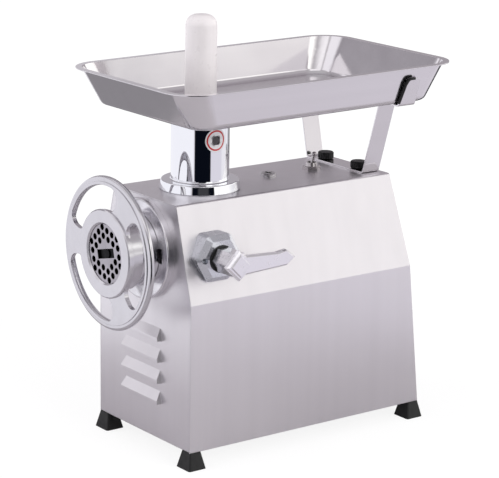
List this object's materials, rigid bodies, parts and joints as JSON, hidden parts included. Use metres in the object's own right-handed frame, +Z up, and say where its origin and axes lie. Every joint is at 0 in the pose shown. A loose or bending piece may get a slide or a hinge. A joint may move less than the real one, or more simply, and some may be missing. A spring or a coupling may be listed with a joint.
{
  "type": "electric meat grinder",
  "caption": "Bench meat grinder: a folded steel housing on rubber feet, a front grinding head with a spoked ring nut, a feed neck with tray and pusher, and a side lock lever.",
  "frame": {"origin": "on the bench, under the centre of the bounding box", "axes": "+Z up; the grinding head faces -Y; the lock lever is on the +X side"},
  "size_m": [0.2894, 0.4704, 0.5625],
  "materials": {
    "housing_steel": "brushed",
    "tray_steel": "polished",
    "chrome": "polished",
    "polished_aluminium": "satin",
    "cast_aluminium": "as cast",
    "tinned_iron": "tinned",
    "machined_steel": "machined",
    "zinc_steel": "zinc plated",
    "rubber": "matte",
    "black_plastic": "glossy",
    "white_plastic": "smooth",
    "pad_brass": "turned",
    "motor_paint": "painted",
    "lamination": "stacked sheet",
    "copper": "varnished wire"
  },
  "bodies": {
    "housing": {"housing_shell": "housing_steel", "front_panel": "housing_steel", "rear_panel": "housing_steel", "base_plate": "housing_steel", "foot_front_left": "rubber", "foot_front_right": "rubber", "foot_rear_left": "rubber", "foot_rear_right": "rubber", "foot_screws": "zinc_steel", "head_collar": "polished_aluminium", "head_socket": "cast_aluminium", "gearbox_case": "cast_aluminium", "gearbox_cover": "cast_aluminium", "gearbox_bolts": "zinc_steel", "pedestal_bolts": "zinc_steel", "output_bearings": "machined_steel", "oil_seal": "rubber", "lay_bearings": "machined_steel", "stator_core": "lamination", "stator_winding": "copper", "motor_frame": "motor_paint", "motor_shield_front": "cast_aluminium", "motor_shield_rear": "cast_aluminium", "motor_bearings": "machined_steel", "motor_cradle": "zinc_steel", "fan_cowl": "housing_steel", "run_capacitor": "black_plastic", "terminal_block": "black_plastic", "cable_gland": "black_plastic", "clamp_boss": "chrome", "clamp_seal": "rubber", "neck_tube": "chrome", "tray_bracket": "tray_steel", "knob_studs": "zinc_steel", "switch_body": "black_plastic", "switch_nut": "chrome", "filler_plug": "zinc_steel"},
    "rotor": {"motor_shaft": "machined_steel", "motor_pinion": "machined_steel", "rotor_core": "lamination", "cooling_fan": "black_plastic"},
    "layshaft": {"lay_shaft": "machined_steel", "lay_gear": "machined_steel"},
    "output": {"output_shaft": "machined_steel", "output_gear": "machined_steel"},
    "head": {"head_barrel": "polished_aluminium", "plate_key": "machined_steel", "mincing_plate": "machined_steel"},
    "worm": {"auger": "tinned_iron", "auger_pin": "machined_steel", "knife": "machined_steel"},
    "ring_nut": {"ring_nut": "polished_aluminium"},
    "tray": {"tray": "tray_steel"},
    "pusher": {"pusher": "white_plastic"},
    "lever": {"lock_lever": "chrome", "clamp_screw": "machined_steel"},
    "pad": {"clamp_pad": "pad_brass"},
    "knob_near": {"knob_near": "black_plastic"},
    "knob_far": {"knob_far": "black_plastic"},
    "switch_lever": {"switch_lever": "chrome"}
  },
  "joints": [
    {"name": "motor_spin", "type": "hinge", "parent": "housing", "child": "rotor", "pos_m": [-0.0053, 0.07677, 0.156], "axis": [0, 1, 0], "continuous": true},
    {"name": "layshaft_spin", "type": "hinge", "parent": "housing", "child": "layshaft", "pos_m": [-0.0053, -0.00323, 0.21], "axis": [0, 1, 0], "continuous": true},
    {"name": "output_spin", "type": "hinge", "parent": "housing", "child": "output", "pos_m": [-0.0053, -0.02323, 0.27], "axis": [0, 1, 0], "continuous": true},
    {"name": "head_pull", "type": "slide", "parent": "housing", "child": "head", "axis": [0, -1, 0], "range_m": [0, 0.2]},
    {"name": "worm_spin", "type": "hinge", "parent": "head", "child": "worm", "pos_m": [-0.0053, -0.13323, 0.27], "axis": [0, 1, 0], "continuous": true},
    {"name": "ring_turn", "type": "hinge", "parent": "head", "child": "ring_nut", "pos_m": [-0.0053, -0.22323, 0.27], "axis": [0, -1, 0], "continuous": true},
    {"name": "tray_lift", "type": "slide", "parent": "housing", "child": "tray", "axis": [0, 0, 1], "range_m": [0, 0.12]},
    {"name": "pusher_stroke", "type": "slide", "parent": "tray", "child": "pusher", "axis": [0, 0, 1], "range_m": [0, 0.16]},
    {"name": "lever_turn", "type": "hinge", "parent": "housing", "child": "lever", "pos_m": [0.1147, -0.12923, 0.272], "axis": [1, 0, 0], "range_deg": [0, 100]},
    {"name": "pad_travel", "type": "slide", "parent": "housing", "child": "pad", "axis": [1, 0, 0], "range_m": [0, 0.00085]},
    {"name": "knob_near_turn", "type": "hinge", "parent": "housing", "child": "knob_near", "pos_m": [0.0237, 0.15277, 0.345], "axis": [0, 0, 1], "continuous": true},
    {"name": "knob_far_turn", "type": "hinge", "parent": "housing", "child": "knob_far", "pos_m": [-0.0463, 0.15277, 0.345], "axis": [0, 0, 1], "continuous": true},
    {"name": "switch_throw", "type": "hinge", "parent": "housing", "child": "switch_lever", "pos_m": [-0.0133, 0.10177, 0.343], "axis": [1, 0, 0], "range_deg": [0, 34]}
  ],
  "couplings": [
    {"joint": "layshaft_spin", "follows": "motor_spin", "ratio": -0.33333},
    {"joint": "output_spin", "follows": "motor_spin", "ratio": 0.11111},
    {"joint": "worm_spin", "follows": "motor_spin", "ratio": 0.11111},
    {"joint": "pad_travel", "follows": "lever_turn", "m_per_rad": 0.00047746}
  ]
}
